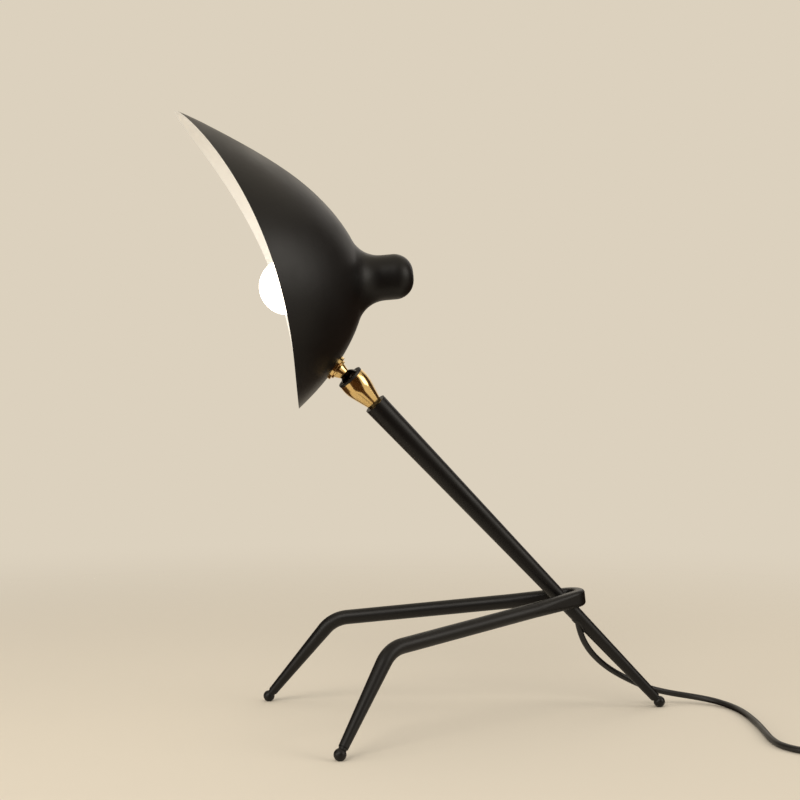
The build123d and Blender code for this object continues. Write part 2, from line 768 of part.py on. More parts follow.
# Hand switch: two half shells, a rocker on a pin, screws, terminals and cord reliefs
at_switch = Pos(switch_x, switch_y, 0)
shell_outline = RectangleRounded(switch_length, switch_width, switch_corner)
cavity_outline = RectangleRounded(
    switch_length - 2 * switch_wall, switch_width - 2 * switch_wall, switch_corner - switch_wall
)
floor_top = switch_lift + switch_wall
ceiling = switch_height - switch_wall
screw_places = [Pos(x, y, 0) for x, y in ((-screw_x, -screw_y), (screw_x, screw_y))]
relief_grips = [
    Pos(side * switch_length / 2, 0, switch_split) * Rot(0, 90 * side, 0) * rod(relief_d, -switch_wall, relief_grip)
    for side in (-1, 1)
]
base = Pos(0, 0, switch_lift) * extrude(shell_outline, switch_split - switch_lift)
base = fillet(base.faces().sort_by(Axis.Z)[0].edges(), switch_foot_round)
base -= Pos(0, 0, floor_top) * extrude(cavity_outline, switch_split - floor_top)
cover = Pos(0, 0, switch_split) * extrude(shell_outline, switch_height - switch_split)
cover = fillet(cover.faces().sort_by(Axis.Z)[-1].edges(), switch_top_round)
cover -= Pos(0, 0, switch_split) * extrude(cavity_outline, ceiling - switch_split)
window = Box(rocker_length + 4 * rocker_gap, rocker_width + 2 * rocker_gap, 2 * switch_height)
rail_y = rocker_width / 2 + rocker_gap + rail / 2
rail_z = rocker_pivot - rail_depth
for side in (-1, 1):
    cover += Pos(0, side * rail_y, (rail_z + ceiling) / 2) * Box(rocker_length, rail, ceiling - rail_z)
cover -= window
screw_top = switch_split + screw_reach
for place in screw_places:
    base += place * rod(screw_boss_d, floor_top, switch_split)
    cover += place * rod(screw_boss_d, switch_split, ceiling)
screw = rod(screw_d, switch_lift, screw_top)
screw += Pos(0, 0, switch_lift) * Solid.make_cone(screw_head_d / 2, screw_d / 2, screw_head)
screws = [place * screw for place in screw_places]
for body in screws + relief_grips:
    base -= body
    cover -= body
pin_line = Pos(0, 0, rocker_pivot) * Rot(90, 0, 0)
pivot_pin = pin_line * rod(rocker_pin_d, -rail_y, rail_y)
cover -= pin_line * rod(rocker_pin_d + 2 * running_fit, -rail_y - rail, rail_y + rail)
rocker_half = rocker_length / 2 - rocker_gap
rocker_top = switch_height + rocker_rise - rocker_pivot
rocker_outline = Polyline(
    (-rocker_half, -rocker_depth / 2),
    (0, -rocker_depth),
    (rocker_half, -rocker_depth / 2),
    (rocker_half, rocker_top),
    (0, rocker_top - rocker_dish),
    (-rocker_half, rocker_top),
    close=True,
)
rocker = extrude(Plane.XZ * make_face(rocker_outline), rocker_width / 2, both=True)
rocker = fillet(rocker.edges().filter_by(Axis.Y).sort_by(Axis.Z)[-2:], rocker_round)
rocker = Pos(0, 0, rocker_pivot) * Rot(0, rocker_angle, 0) * rocker + pivot_pin
terminal = Box(terminal_length, terminal_width, terminal_height)
terminals = [
    Pos(0, side * terminal_y, floor_top + terminal_height / 2) * terminal for side in (-1, 1)
]
relief_cone = Solid.make_cone(relief_d / 2, relief_tip_d / 2, relief_length - relief_grip)
reliefs = []
for side, grip in zip((-1, 1), relief_grips):
    tip = Pos(side * switch_length / 2, 0, switch_split) * Rot(0, 90 * side, 0) * Pos(0, 0, relief_grip)
    reliefs.append(grip + tip * relief_cone)
switch_base = at_switch * base
switch_cover = at_switch * cover
switch_rocker = at_switch * rocker
switch_screws = at_switch * Compound([body.solid() for body in screws])
switch_terminals = at_switch * Compound([body.solid() for body in terminals])
switch_reliefs = at_switch * Compound([body.solid() for body in reliefs])

# Pieces of the lamp, and the pieces that lie on its cord
lamp_nodes = {
    "stem_tube": stem_tube,
    "stem_insert": stem_insert,
    "leg_hairpin": leg_hairpin,
    "foot_rear": foot_rear,
    "foot_front_near": front_foot(-1),
    "foot_front_far": front_foot(1),
    "cord_grommet": cord_grommet,
    "stem_cord": stem_cord,
    "swivel_cup": swivel_cup,
    "cup_collar": cup_collar,
    "ball_seat": ball_seat,
    "seat_spring": seat_spring,
    "ball_stud": ball_stud,
    "stud_nut": stud_nut_body,
    "saddle_washer": saddle_washer,
    "inner_washer": inner_washer,
    "shade": shade,
    "head_cord": head_cord,
    "lamp_wires": lamp_wires,
    "holder_plate": holder_plate_body,
    "holder_nut": holder_nut_body,
    "lampholder_cap": lampholder_cap,
    "lampholder_body": lampholder_body,
    "lampholder_sleeve": lampholder_sleeve,
    "lampholder_contact": lampholder_contact,
    "bulb_globe": bulb_globe,
    "bulb_cap": bulb_cap,
    "bulb_insulator": bulb_insulator,
    "bulb_contact": bulb_contact,
}
cord_nodes = {
    "cord_lead": cord_lead,
    "cord_link": cord_link,
    "cord_coil": cord_coil,
    "coil_tie": coil_tie,
    "plug_relief": plug_relief,
    "plug_body": plug_body,
    "plug_pins": plug_pins,
    "switch_base": switch_base,
    "switch_cover": switch_cover,
    "switch_rocker": switch_rocker,
    "switch_screws": switch_screws,
    "switch_terminals": switch_terminals,
    "switch_reliefs": switch_reliefs,
}

# Origin on the floor, under the middle of the lamp without its cord
boxes = [shape.bounding_box() for shape in lamp_nodes.values()]
middle_x = (min(box.min.X for box in boxes) + max(box.max.X for box in boxes)) / 2
middle_y = (min(box.min.Y for box in boxes) + max(box.max.Y for box in boxes)) / 2
to_origin = Pos(-middle_x, -middle_y, 0)
os.makedirs("parts", exist_ok=True)
for name, shape in {**lamp_nodes, **cord_nodes}.items():
    export_step(to_origin * shape, f"parts/{name}.step")
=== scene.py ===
from math import cos, pi, radians, sin

import bmesh
import bpy
from bpy.props import FloatProperty, FloatVectorProperty, IntProperty, PointerProperty
from mathutils import Matrix, Vector


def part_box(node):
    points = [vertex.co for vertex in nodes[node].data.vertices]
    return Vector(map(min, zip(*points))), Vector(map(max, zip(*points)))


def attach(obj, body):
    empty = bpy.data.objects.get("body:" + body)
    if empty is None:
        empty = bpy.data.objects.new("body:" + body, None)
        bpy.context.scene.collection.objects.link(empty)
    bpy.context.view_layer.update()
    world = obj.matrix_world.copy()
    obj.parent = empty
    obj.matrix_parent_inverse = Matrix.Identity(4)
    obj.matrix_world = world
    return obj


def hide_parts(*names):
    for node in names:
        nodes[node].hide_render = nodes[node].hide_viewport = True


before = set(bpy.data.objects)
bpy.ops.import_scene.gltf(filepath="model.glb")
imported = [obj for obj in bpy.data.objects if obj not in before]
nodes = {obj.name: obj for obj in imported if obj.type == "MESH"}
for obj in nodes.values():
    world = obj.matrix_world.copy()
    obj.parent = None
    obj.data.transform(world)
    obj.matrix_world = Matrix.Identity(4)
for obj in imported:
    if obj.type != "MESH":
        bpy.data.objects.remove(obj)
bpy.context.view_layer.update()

bl_info = {
    "name": "Desk lamp finishes",
    "version": (1, 0, 0),
    "blender": (4, 5, 0),
    "location": "3D View > Sidebar > Desk Lamp",
    "description": "Dresses the packed desk lamp with finishes, flex, small parts and a stage",
    "category": "Object",
}

MM = 0.001

# Mesh work
WELD = 0.002 * MM  # points nearer than this become one
CREASE = 40  # degrees from which an edge stays crisp
SHADE_CREASE = 25  # the same on the spun shade
CORNER = 60  # degrees from which an edge of a flat moulding is rounded

# Head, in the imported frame
BOWL = Vector((-57.609, 2.581, 357.006)) * MM  # bottom of the shade's bowl
HEAD_AXIS = Vector((-0.968459, 0.230719, -0.094108))  # out of the shade's mouth
HEAD_UP = Vector((-0.0764, 0.084539, 0.993487))  # towards the visor
HEAD_SIDE = HEAD_UP.cross(HEAD_AXIS)
BOWL_FOCAL = 39.0 * MM  # focal length of the bowl's parabola
SHADE_INSIDE = 0.1  # a face that leans outwards by less than this is enamelled

# Swivel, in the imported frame
STEM_AXIS = Vector((-0.702153, 0.0, 0.712026))
STUD_AXIS = HEAD_AXIS * 0.75377 + HEAD_UP * 0.65714
BALL_MIDDLE = BOWL + HEAD_AXIS * 17.581 * MM - HEAD_UP * 78.514 * MM
BALL_SHADE_REACH = 8.1 * MM  # painted shade darkens the ball and its stud up to here from the ball's middle
BALL_SHADE_FADE = 0.4 * MM  # and turns to brass within this
LATHE_RING = 0.9 * MM  # spacing of the tool marks

# Route of the mains flex in millimetres: from inside the stem to the switch, and on to the coil
LEAD_ROUTE = (
    (125.97, 0, 75.78), (128.24, 0, 65.12), (136.83, 3.4, 51.6), (147.23, 6.6, 41.3),
    (159.83, 9.6, 32), (175.43, 12, 23.4), (194.43, 12.6, 14.4), (214.43, 11.2, 9.2),
    (232.43, 6.6, 6.2), (246.43, -4, 4.2), (253.03, -20, 2.8), (253.43, -40, 2.6),
    (248.93, -65, 2.6), (240.43, -97, 2.6), (230.43, -128, 2.6), (220.93, -156, 2.6),
    (217.43, -180, 2.6), (225.93, -202, 2.6), (243.43, -214, 3.6), (257.43, -216, 8),
    (271.43, -216, 8), (295.9, -216, 8), (320.43, -216, 8), (344.9, -216, 8),
    (369.43, -216, 8), (380.93, -216, 8), (394.93, -216, 3.9), (406.43, -216, 3.9),
)

# Put-away coil of the flex
COIL_CENTRE = Vector((412.351, -177.311, 0)) * MM
COIL_FIRST = -1.59464  # angle at which the first turn starts, in radians
COIL_CLIMB = 0.5  # share of a turn in which the flex climbs to the upper layer
COIL_END = Vector((449.59, -178.199, 9.7)) * MM  # end of the last turn
COIL_OUT = Vector((0.0486, 0.9988, 0.0))  # from there into the plug
COIL_LAST = (7.6, 17, 28)  # last points on that way, in millimetres

# Nodes and new pieces that are on the mains flex
FLEX_NODES = (
    "switch_base", "switch_cover", "switch_rocker",
    "switch_screws", "switch_terminals", "plug_pins",
)
FLEX_PIECES = (
    "switch_bezel", "switch_relief_in", "switch_relief_out",
    "coil_strap", "strap_lap", "grooved_plug", "plug_ribs",
)

# Flex inside the lamp, in millimetres
STEM_INSET = 1.8  # from the edges of its solid's box in to the middle of its top
STEM_ROUTE = ((60, 0, 147.8), (124.83, 0, 81.16), LEAD_ROUTE[0])  # down the stem
STUD_ROUTE = (0, 15, 30.2)  # along the stud from the ball's middle
CORE_SIDE = 1.2  # each core's distance from the middle of the shade
CORE_DIAMETER = 2
CORE_ROUTE = (  # along and up from the bottom of the bowl
    (40.34, -58.67), (48.64, -51.44), (31.64, -28.77), (3.9, -15.2),
    (-29, -15.2), (-29, -1.2), (-22.5, -1.2), (-6, -1.2),
)

# Ribbed strain reliefs, in millimetres
RELIEF_BORE = 2.3
RELIEF_GROOVE = 0.55  # depth of the grooves between the ribs
RELIEF_SHARE = 0.22  # half a groove's width as a share of the pitch
RELIEF_EDGE = 0.14
RELIEF_STEPS = 40  # sides of the spun form

# Hand switch, in millimetres
SWITCH = Vector((320.428, -216, 8))  # its middle
SWITCH_HALF = 29.0  # half its length
SWITCH_TOP = 17.0
SWITCH_WINDOW = (21.6, 12.4)  # opening for the rocker
SWITCH_RELIEF = {"length": 20, "root": 4.0, "tip": 3.3, "ribs": 6}
BEZEL = 1.3  # width of the rim round the window
BEZEL_RISE = 0.7
BEZEL_CORNER = 2.0
BEZEL_EDGE = 0.25

# Plug, in millimetres along the flex
PLUG = Vector((450.854, -152.23, 9.7))  # where its relief starts
PLUG_NECK = (28.0, 15.0, 13.0)  # how far along, width and height
PLUG_FRONT = (64.0, 36.0, 19.2)
PLUG_GRIP = 46.0  # back end of the straight grip
PLUG_CORNER = 8.8
PLUG_EDGE = 1.5
PLUG_GROOVES = (60.6, 57.2, 53.8, 50.4)  # front of each grip groove
PLUG_GROOVE = ((0, 0), (0.4, 0.6), (1.1, 0.6), (1.5, 0))  # its profile, back and in
PLUG_RELIEF = {"length": PLUG_NECK[0], "root": 4.8, "tip": 3.4, "ribs": 8}

# Strap round the coil, in millimetres
STRAP = 1.0  # its thickness
STRAP_CORNER = 2.6
STRAP_EDGE = 0.3
LAP = (15.0, 8.4)  # length and width of its lapped end
LAP_CORNER = 3.0
LAP_SHIFT = 0.6  # to the side of the strap's middle
LAP_SINK = 0.2  # into the strap

# Stage, in metres
CAMERA_PLACE = Vector((-432.552, -1349.07, 285.43)) * MM
CAMERA_TURN = (88.984, 0, -16.681)  # degrees
CAMERA_SENSOR = 36  # width in millimetres
CAMERA_CLIP = (0.05, 60)
FLOOR_HALF = 4.0  # half the floor's side
FLOOR_CELLS = 8  # faces along each side
FLOOR_FADE = (0.45, 1.5)  # from the middle, where the floor fades into the background
LIGHT_AIM = Vector((0, 0, 0.22))
LIGHTS = (  # name, place, size and the setting that holds the watts
    ("key_light", (-1.3, -1.5, 1.7), 1.3, "key_power"),
    ("fill_light", (1.7, -1.1, 1.1), 1.1, "fill_power"),
    ("rim_light", (1.3, 1.5, 1.2), 1.4, "rim_power"),
    ("low_light", (-1.6, -0.5, 0.35), 0.9, "low_power"),
)

# Dark cloths round the stage, in degrees and metres
FLAG_TURNS = (262, 22, 142)  # middle of each
FLAG_SPREAD = 74  # how far each reaches round
FLAG_STEPS = 12  # faces round each
FLAG_REACH = 3.2  # how far off each stands
FLAG_START = 0.075  # share of the reach at which its foot ends on the floor
FLAG_HEIGHT = 3.0
FLAG_LIFT = 0.5 * MM  # over the floor


def linear(colour):
    """Linear RGBA of an sRGB hex colour."""
    parts = [int(colour[i : i + 2], 16) / 255 for i in (1, 3, 5)]
    return [p / 12.92 if p <= 0.04045 else ((p + 0.055) / 1.055) ** 2.4 for p in parts] + [1.0]


def shade_of(colour, factor):
    """The same colour, lighter or darker."""
    return [min(part * factor, 1.0) for part in colour[:3]] + [1.0]


def colour_property(name, description, colour):
    """Colour setting that a user can change."""
    return FloatVectorProperty(
        name=name,
        description=description,
        default=linear(colour),
        size=4,
        min=0,
        max=1,
        subtype="COLOR",
    )


def length_property(name, description, default):
    """Length setting in metres."""
    return FloatProperty(
        name=name, description=description, default=default, min=0, precision=5, unit="LENGTH"
    )


def number_property(name, description, default, least=0):
    """Setting that is a plain number."""
    return FloatProperty(name=name, description=description, default=default, min=least)


class LampFinishes(bpy.types.PropertyGroup):
    """Colours of the lamp's finishes"""

    paint: colour_property("Black paint", "Powder coat of stem, legs, feet and shade", "#0C0A09")
    enamel: colour_property("White enamel", "Inside of the shade", "#F4F1EA")
    brass: colour_property("Brass", "Turned and polished brass of the swivel", "#F4D79A")
    brass_dark: colour_property("Brass, darker", "Faint tarnish in the brass", "#E2BC78")
    # Painted shade: a dark colour on the ball that stands in for the shade and dark reflection on
    # it
    painted_ball_shade: colour_property("Painted ball shade", "Painted shade on the ball that the shade turns on", "#1C1714")
    zinc: colour_property("Zinc plate", "Nuts, washers and plate inside the shade", "#B4B6B6")
    phenolic: colour_property("Phenolic", "Moulded lampholder", "#1B1411")
    glow: colour_property("Bulb glow", "Light of the frosted bulb", "#FFF3E2")
    sheath: colour_property("Flex sheath", "Black vinyl of the flex", "#131110")
    moulding: colour_property("Moulded plastic", "Switch and plug", "#151413")
    core_live: colour_property("Live core", "Insulation of one core of the flex", "#5B3A22")
    core_neutral: colour_property("Neutral core", "Insulation of the other core", "#2B4A86")
    glow_strength: number_property("Bulb strength", "Light given by the bulb's glass", 4.0)


class LampFlex(bpy.types.PropertyGroup):
    """Sizes of the mains flex and its put-away coil"""

    diameter: length_property("Diameter", "Outside of the flex", 5.0 * MM)
    length: length_property("Length", "Free flex from the stem to the plug", 1.72)
    coil_radius: length_property("Coil radius", "Middle of the outermost turn", 38.7 * MM)
    coil_pitch: length_property("Coil pitch", "From one turn to the next", 5.8 * MM)
    coil_floor: length_property("Lower layer", "Height of the lower layer's middle", 3.9 * MM)
    coil_layer: length_property("Layer rise", "From the lower layer to the upper", 5.8 * MM)
    turns_in: number_property("Turns in", "Turns of the lower layer", 3.0, least=1)
    turns_out: number_property("Turns out", "Turns of the upper layer", 2.75, least=1)
    per_turn: IntProperty(
        name="Points per turn", description="Control points in each turn", default=16, min=12
    )


class LampStage(bpy.types.PropertyGroup):
    """Floor, background, lights and camera"""

    floor: colour_property("Floor", "Plain pale floor under the lamp", "#DCD1BE")
    background: colour_property("Background", "Plain pale background", "#DCD1BE")
    world_light: number_property("World light", "Soft light from all round", 0.62)
    key_power: number_property("Key light", "Watts of the large light on the left", 22)
    fill_power: number_property("Fill light", "Watts of the light on the right", 12)
    rim_power: number_property("Rim light", "Watts of the light behind", 5)
    low_power: number_property("Low light", "Watts of the low light on the left", 8)
    lens: number_property("Lens", "Focal length in millimetres", 78.75, least=10)


def add_node(tree, kind, values=(), links=()):
    """Add one shader node, set its values and settings, and link its inputs."""
    made = tree.nodes.new(kind)
    for name, value in dict(values).items():
        if isinstance(name, int) or name in made.inputs:
            made.inputs[name].default_value = value
        else:
            setattr(made, name, value)
    for name, socket in dict(links).items():
        tree.links.new(socket, made.inputs[name])
    return made


def start_material(name, colour, values):
    """New material: its tree, its shader with constant values, and the piece's own coordinates."""
    material = bpy.data.materials.new(name)
    material.use_nodes = True
    tree = material.node_tree
    shader = tree.nodes["Principled BSDF"]
    shader.inputs["Base Color"].default_value = colour
    for key, value in values.items():
        shader.inputs[key].default_value = value
    place = add_node(tree, "ShaderNodeTexCoord").outputs["Object"]
    return material, tree, shader, place


def mottle(tree, shader, place, grain, colours, roughness):
    """Slow change of colour and roughness over a surface, at a grain size in metres."""
    cloud = add_node(
        tree, "ShaderNodeTexNoise", {"Scale": 1 / grain, "Detail": 3.0}, {"Vector": place}
    ).outputs["Fac"]
    tint = add_node(
        tree, "ShaderNodeMix", {"data_type": "RGBA", 6: colours[0], 7: colours[1]}, {0: cloud}
    ).outputs[2]
    tree.links.new(tint, shader.inputs["Base Color"])
    rough = add_node(
        tree,
        "ShaderNodeMapRange",
        {"From Min": 0.3, "From Max": 0.7, "To Min": roughness[0], "To Max": roughness[1]},
        {"Value": cloud},
    ).outputs["Result"]
    tree.links.new(rough, shader.inputs["Roughness"])


def emboss(tree, shader, place, kind, values, strength, depth, output="Fac"):
    """Fine pattern raised on a surface, to a real depth in metres."""
    pattern = add_node(tree, kind, values, {"Vector": place})
    bump = add_node(
        tree,
        "ShaderNodeBump",
        {"Strength": strength, "Distance": depth},
        {"Height": pattern.outputs[output]},
    )
    tree.links.new(bump.outputs["Normal"], shader.inputs["Normal"])


def wave_scale(spacing):
    """Scale that puts the bands of a wave texture a spacing in metres apart."""
    # A band is 2 pi / 20 wide at a scale of 1
    return 2 * pi / 20 / spacing


def satin_powder_coat(finishes):
    """Baked powder coat on steel: deep black with a soft sheen and a faint orange peel."""
    paint = list(finishes.paint)
    material, tree, shader, place = start_material(
        "satin_powder_coat", paint, {"IOR": 1.5, "Specular IOR Level": 0.3}
    )
    colours = (shade_of(paint, 0.8), shade_of(paint, 1.3))
    mottle(tree, shader, place, grain=45 * MM, colours=colours, roughness=(0.36, 0.46))
    # Real peel is about 0.6 mm across; drawn at 2 mm so that it shows in the render
    peel = {"Scale": 1 / (2 * MM), "Detail": 2.0}
    emboss(tree, shader, place, "ShaderNodeTexNoise", peel, strength=0.3, depth=0.12 * MM)
    return material


def white_enamel(finishes):
    """Sprayed white enamel: bright, a little glossy, with a shallow peel."""
    enamel = list(finishes.enamel)
    material, tree, shader, place = start_material("white_enamel", enamel, {"IOR": 1.5})
    colours = (shade_of(enamel, 0.96), shade_of(enamel, 1.02))
    mottle(tree, shader, place, grain=60 * MM, colours=colours, roughness=(0.3, 0.4))
    # Real peel is about 0.8 mm across; drawn at 3 mm so that it shows in the render
    peel = {"Scale": 1 / (3 * MM), "Detail": 2.0}
    emboss(tree, shader, place, "ShaderNodeTexNoise", peel, strength=0.12, depth=0.12 * MM)
    return material


def turned_brass(name, finishes, axis, painted_ball_shade=0.0):
    """Turned, polished brass: a warm mirror with fine rings round its axis, and painted shade
    darkening a ball.
    """
    bright, dark = list(finishes.brass), list(finishes.brass_dark)
    material, tree, shader, place = start_material(name, bright, {"Metallic": 1.0})
    mottle(tree, shader, place, grain=9 * MM, colours=(bright, dark), roughness=(0.12, 0.2))
    turn = Vector((0, 0, 1)).rotation_difference(axis).to_euler()
    lathe = add_node(
        tree,
        "ShaderNodeMapping",
        {"vector_type": "TEXTURE", "Location": BALL_MIDDLE, "Rotation": turn},
        {"Vector": place},
    ).outputs["Vector"]
    # Real tool marks are about 0.1 mm apart; drawn at LATHE_RING so that they show in the render
    rings = {
        "bands_direction": "Z",
        "Scale": wave_scale(LATHE_RING),
        "Distortion": 0.4,
        "Detail": 1.0,
    }
    emboss(tree, shader, lathe, "ShaderNodeTexWave", rings, strength=0.1, depth=0.03 * MM)
    # Painted shade: within a reach of the ball's middle the brass turns dark, for the shade on the
    # ball
    if painted_ball_shade:
        away = add_node(tree, "ShaderNodeVectorMath", {"operation": "LENGTH"}, {0: lathe})
        past = add_node(
            tree,
            "ShaderNodeMapRange",
            {"From Min": painted_ball_shade, "From Max": painted_ball_shade + BALL_SHADE_FADE},
            {"Value": away.outputs["Value"]},
        )
        tint = shader.inputs["Base Color"].links[0].from_socket
        both = add_node(
            tree,
            "ShaderNodeMix",
            {"data_type": "RGBA", 6: list(finishes.painted_ball_shade)},
            {0: past.outputs["Result"], 7: tint},
        )
        tree.links.new(both.outputs[2], shader.inputs["Base Color"])
    return material


def plain_metal(name, colour, grain, roughness):
    """Plated or pressed metal: an even gleam with slight clouding and fine scratches."""
    material, tree, shader, place = start_material(name, colour, {"Metallic": 1.0})
    colours = (shade_of(colour, 0.88), shade_of(colour, 1.06))
    mottle(tree, shader, place, grain, colours, roughness)
    # Real scratches are finer; drawn at 0.5 mm so that they show in the render
    scratches = {"Scale": 1 / (0.5 * MM), "Detail": 4.0, "Distortion": 1.5}
    emboss(tree, shader, place, "ShaderNodeTexNoise", scratches, strength=0.08, depth=0.04 * MM)
    return material


def moulded(name, colour, grit, roughness, depth):
    """Moulded plastic, rubber or glass, with the fine eroded grain of its mould."""
    material, tree, shader, place = start_material(name, colour, {"IOR": 1.48})
    colours = (shade_of(colour, 0.8), shade_of(colour, 1.3))
    mottle(tree, shader, place, grain=20 * MM, colours=colours, roughness=roughness)
    # Real mould grain is about 0.2 mm across; the grit is coarser so that it shows in the render
    grains = {"Scale": 1 / grit, "Randomness": 1.0}
    emboss(
        tree,
        shader,
        place,
        "ShaderNodeTexVoronoi",
        grains,
        strength=0.25,
        depth=depth,
        output="Distance",
    )
    return material


def vinyl_sheath(name, colour):
    """Extruded vinyl round a flex: black, smooth and a little glossy."""
    return moulded(name, colour, grit=1.6 * MM, roughness=(0.42, 0.52), depth=0.04 * MM)


def vinyl_relief(name, colour):
    """Soft vinyl moulded round a flex: black and duller than the sheath."""
    return moulded(name, colour, grit=1.2 * MM, roughness=(0.5, 0.62), depth=0.05 * MM)


def nylon(name, colour):
    """Turned or moulded nylon: waxy and smooth."""
    return moulded(name, colour, grit=1.0 * MM, roughness=(0.4, 0.5), depth=0.03 * MM)


def frosted_glass(finishes):
    """Acid-frosted bulb, lit from within: an even warm white without a visible filament."""
    material, tree, shader, place = start_material(
        "frosted_lit_glass", linear("#FFF6E6"), {"Roughness": 0.45, "IOR": 1.5}
    )
    shader.inputs["Emission Color"].default_value = list(finishes.glow)
    shader.inputs["Emission Strength"].default_value = finishes.glow_strength
    # Real frost is finer; drawn at 0.8 mm so that it shows in the render
    frost = {"Scale": 1 / (0.8 * MM), "Detail": 3.0}
    emboss(tree, shader, place, "ShaderNodeTexNoise", frost, strength=0.2, depth=0.05 * MM)
    return material


def woven_tie(finishes):
    """Hook-and-loop nylon strip: matt black with a fine woven rib."""
    colour = shade_of(list(finishes.sheath), 1.3)
    material, tree, shader, place = start_material(
        "woven_nylon_tie", colour, {"IOR": 1.5, "Sheen Weight": 0.3}
    )
    colours = (shade_of(colour, 0.8), shade_of(colour, 1.5))
    mottle(tree, shader, place, grain=4 * MM, colours=colours, roughness=(0.7, 0.85))
    ribs = {"bands_direction": "Y", "Scale": wave_scale(0.9 * MM)}
    emboss(tree, shader, place, "ShaderNodeTexWave", ribs, strength=0.5, depth=0.15 * MM)
    return material


def dress(names, material):
    """Give CAD nodes a finish."""
    for name in names:
        for slot in nodes[name].material_slots:
            slot.material = material


def finish_piece(piece, body, slot, *replaced):
    """Ride a new piece on its body and hide the nodes that it stands for; the slot is not used."""
    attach(piece, body)
    if replaced:
        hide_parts(*replaced)


def link_object(name, data):
    """New object at the origin, linked to the scene."""
    piece = bpy.data.objects.new(name, data)
    bpy.context.scene.collection.objects.link(piece)
    return piece


def link_mesh(name, bm, materials):
    """Object from a bmesh, at the origin."""
    mesh = bpy.data.meshes.new(name)
    bm.to_mesh(mesh)
    bm.free()
    for material in materials:
        mesh.materials.append(material)
    return link_object(name, mesh)


def close_mesh(bm):
    """Merge what belongs together and turn the faces outwards."""
    bmesh.ops.remove_doubles(bm, verts=bm.verts, dist=WELD)
    bmesh.ops.recalc_face_normals(bm, faces=bm.faces)


def smooth_by_angle(bm, degrees):
    """Smooth faces, with edges sharper than an angle kept crisp."""
    for face in bm.faces:
        face.smooth = True
    for edge in bm.edges:
        edge.smooth = edge.calc_face_angle(0) < radians(degrees)


def round_off(bm, geom, offset, segments, affect="EDGES"):
    """Round edges or corners by an offset in millimetres."""
    bmesh.ops.bevel(
        bm,
        geom=geom,
        offset=offset * MM,
        affect=affect,
        segments=segments,
        profile=0.5,
        material=-1,
    )


def soften(bm, degrees, offset, segments):
    """Round every edge sharper than an angle, by an offset in millimetres."""
    sharp = [edge for edge in bm.edges if edge.calc_face_angle(0) > radians(degrees)]
    round_off(bm, sharp, offset, segments)


def pull(bm, faces, move):
    """Extrude faces by a vector in millimetres; gives the new vertices and faces."""
    # With its edges given too, a face that has neighbours moves and isn't left behind inside
    edges = dict.fromkeys(edge for face in faces for edge in face.edges)
    made = bmesh.ops.extrude_face_region(bm, geom=[*faces, *edges])["geom"]
    verts = [part for part in made if isinstance(part, bmesh.types.BMVert)]
    bmesh.ops.translate(bm, vec=Vector(move) * MM, verts=verts)
    return verts, [part for part in made if isinstance(part, bmesh.types.BMFace)]


def rounded_panel(width, height, corner, segments=6):
    """Bmesh with one flat rounded rectangle about the origin, in millimetres, and that face."""
    bm = bmesh.new()
    bmesh.ops.create_grid(bm, x_segments=1, y_segments=1, size=0.5)
    bmesh.ops.scale(bm, vec=(width * MM, height * MM, 1), verts=bm.verts)
    round_off(bm, bm.verts[:], corner, segments, affect="VERTICES")
    return bm, bm.faces[:][0]


def thicken(bm, faces, depth, edge):
    """Give flat faces a depth upwards and rounded edges, in millimetres."""
    pull(bm, faces, (0, 0, depth))
    bmesh.ops.recalc_face_normals(bm, faces=bm.faces)
    soften(bm, CORNER, edge, segments=3)


def rounded_ring(width, height, corner, wall, depth, edge):
    """Bmesh of a rounded rectangular ring with a wall and a depth, in millimetres."""
    bm, window = rounded_panel(width, height, corner)
    bmesh.ops.inset_region(
        bm, faces=[window], thickness=wall * MM, use_boundary=True, use_even_offset=True
    )
    bmesh.ops.delete(bm, geom=[window], context="FACES")
    thicken(bm, bm.faces[:], depth, edge)
    return bm


def place_piece(name, bm, matrix, material):
    """Close a new piece, put it in its place, smooth it and link it."""
    close_mesh(bm)
    bmesh.ops.transform(bm, matrix=matrix, verts=bm.verts)
    smooth_by_angle(bm, CREASE)
    return link_mesh(name, bm, [material])


def facing(place, axis):
    """Matrix that puts the origin at a place and the Z axis along an axis."""
    turn = Vector((0, 0, 1)).rotation_difference(axis)
    return Matrix.Translation(place) @ turn.to_matrix().to_4x4()


def strain_relief(name, place, axis, material, length, root, tip, ribs):
    """Tapered relief with ribs round the flex, spun from its outline in millimetres."""
    pitch = length / (ribs + 1)
    outline = [(RELIEF_BORE, 0), (root, 0)]
    for rib in range(1, ribs + 1):
        start, end = pitch * (rib - RELIEF_SHARE), pitch * (rib + RELIEF_SHARE)
        before, after = (root + (tip - root) * along / length for along in (start, end))
        outline += [(before, start), (before - RELIEF_GROOVE, start)]
        outline += [(after - RELIEF_GROOVE, end), (after, end)]
    outline += [(tip, length), (RELIEF_BORE, length)]
    bm = bmesh.new()
    corners = [bm.verts.new((radius * MM, 0, along * MM)) for radius, along in outline]
    edges = [bm.edges.new(pair) for pair in zip(corners, corners[1:] + corners[:1])]
    bmesh.ops.spin(
        bm,
        geom=corners + edges,
        cent=(0, 0, 0),
        axis=(0, 0, 1),
        angle=2 * pi,
        steps=RELIEF_STEPS,
        use_merge=True,
    )
    close_mesh(bm)
    soften(bm, CREASE, RELIEF_EDGE, segments=2)
    return place_piece(name, bm, facing(place, axis), material)


def flex_curve(name, points, diameter, material):
    """Round flex on one smooth open spline that has the route's points as its control points."""
    curve = bpy.data.curves.new(name, "CURVE")
    curve.dimensions = "3D"
    curve.bevel_depth = diameter / 2
    curve.bevel_resolution = 5
    curve.resolution_u = 6
    curve.use_fill_caps = True
    spline = curve.splines.new("NURBS")
    spline.points.add(len(points) - 1)
    for place, point in zip(spline.points, points):
        place.co = (*point, 1)
    spline.order_u = 3
    spline.use_endpoint_u = True
    curve.materials.append(material)
    return link_object(name, curve)


